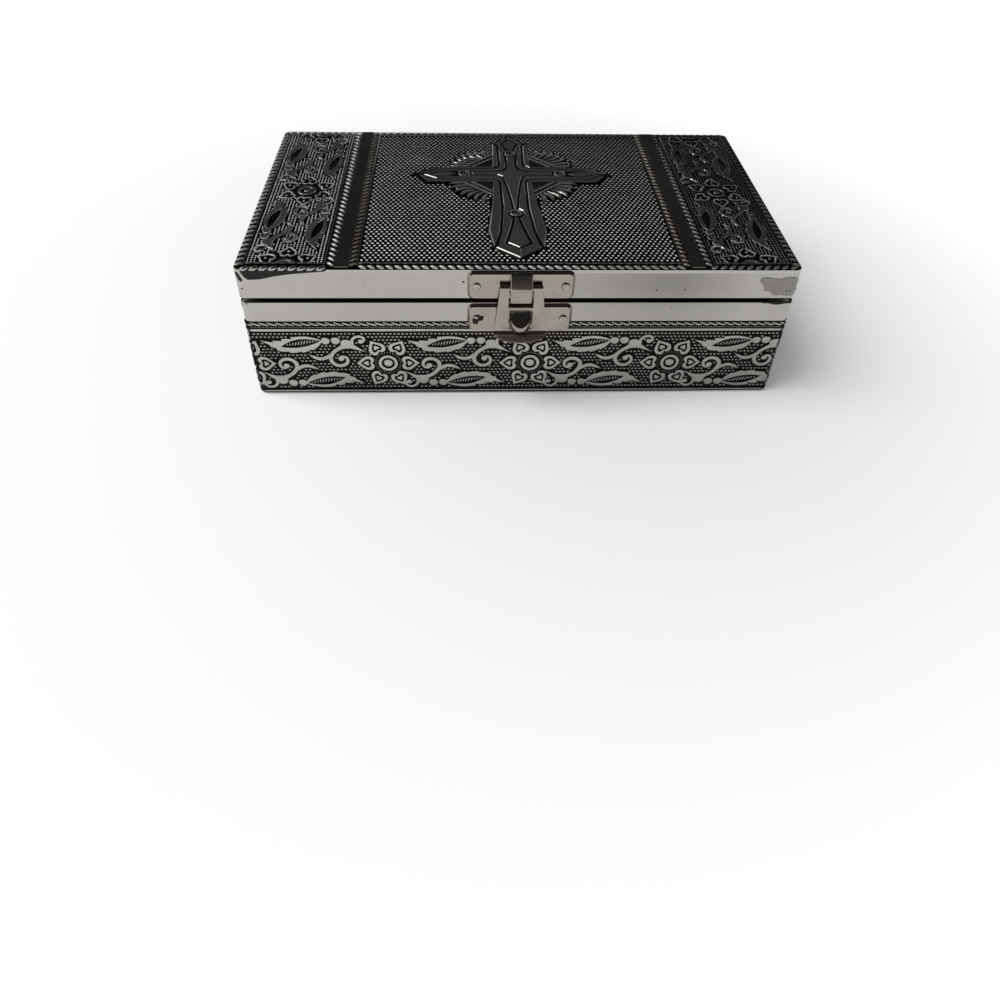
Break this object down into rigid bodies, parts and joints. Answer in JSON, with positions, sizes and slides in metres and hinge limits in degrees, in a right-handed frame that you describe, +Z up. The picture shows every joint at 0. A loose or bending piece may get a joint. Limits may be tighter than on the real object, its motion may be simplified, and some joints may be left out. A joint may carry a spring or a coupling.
{
  "type": "rosary box",
  "caption": "Low rectangular keepsake box with a hinged lid, clad in embossed oxidised metal sheet with a raised cross on the lid and a nailed hasp latch at the front.",
  "frame": {"origin": "middle of the underside, on the surface that the box stands on", "axes": "+Z up, +X along the long side to the right seen from the front, +Y to the back; the latch is on the -Y face"},
  "size_m": [0.201, 0.1278, 0.0551],
  "materials": {
    "fibreboard": "sawn fibreboard, unpainted",
    "oxidised_band": "embossed, blackened in the hollows and rubbed bright on the relief",
    "oxidised_lid": "embossed, blackened all over with bright points",
    "bright_strip": "thin rolled sheet, semi-gloss, slightly rippled",
    "latch_nickel": "pressed steel, nickel plated, worn",
    "hinge_brass": "dull brass plate",
    "velvet": "short-pile velvet",
    "cover_felt": "flocked paper"
  },
  "bodies": {
    "body": {"front_panel": "fibreboard", "back_panel": "fibreboard", "left_panel": "fibreboard", "right_panel": "fibreboard", "base_panel": "fibreboard", "front_lining": "velvet", "back_lining": "velvet", "left_lining": "velvet", "right_lining": "velvet", "floor_pad": "velvet", "embossed_body_band": "oxidised_band", "plain_rim_strip": "bright_strip", "base_cover": "cover_felt", "left_hinge_body_leaf": "hinge_brass", "right_hinge_body_leaf": "hinge_brass", "left_hinge_pin": "hinge_brass", "right_hinge_pin": "hinge_brass", "hinge_body_nails": "hinge_brass", "body_latch_plate": "latch_nickel", "body_latch_nails": "latch_nickel"},
    "lid": {"lid_board": "fibreboard", "lid_front_rail": "fibreboard", "lid_back_rail": "fibreboard", "lid_left_rail": "fibreboard", "lid_right_rail": "fibreboard", "embossed_lid_sheet": "oxidised_lid", "lid_rim_strip": "bright_strip", "lid_front_lining": "velvet", "lid_back_lining": "velvet", "lid_left_lining": "velvet", "lid_right_lining": "velvet", "lid_pad": "velvet", "left_hinge_lid_leaf": "hinge_brass", "right_hinge_lid_leaf": "hinge_brass", "hinge_lid_nails": "hinge_brass", "lid_latch_plate": "latch_nickel", "lid_latch_nails": "latch_nickel"},
    "hasp": {"hasp": "latch_nickel"}
  },
  "joints": [
    {"name": "lid_hinge", "type": "hinge", "parent": "body", "child": "lid", "pos_m": [0, 0.0589, 0.04205], "axis": [-1, 0, 0], "range_deg": [0, 100]},
    {"name": "hasp_swing", "type": "hinge", "parent": "lid", "child": "hasp", "pos_m": [0, -0.06205, 0.0486], "axis": [-1, 0, 0], "range_deg": [0, 165]}
  ]
}
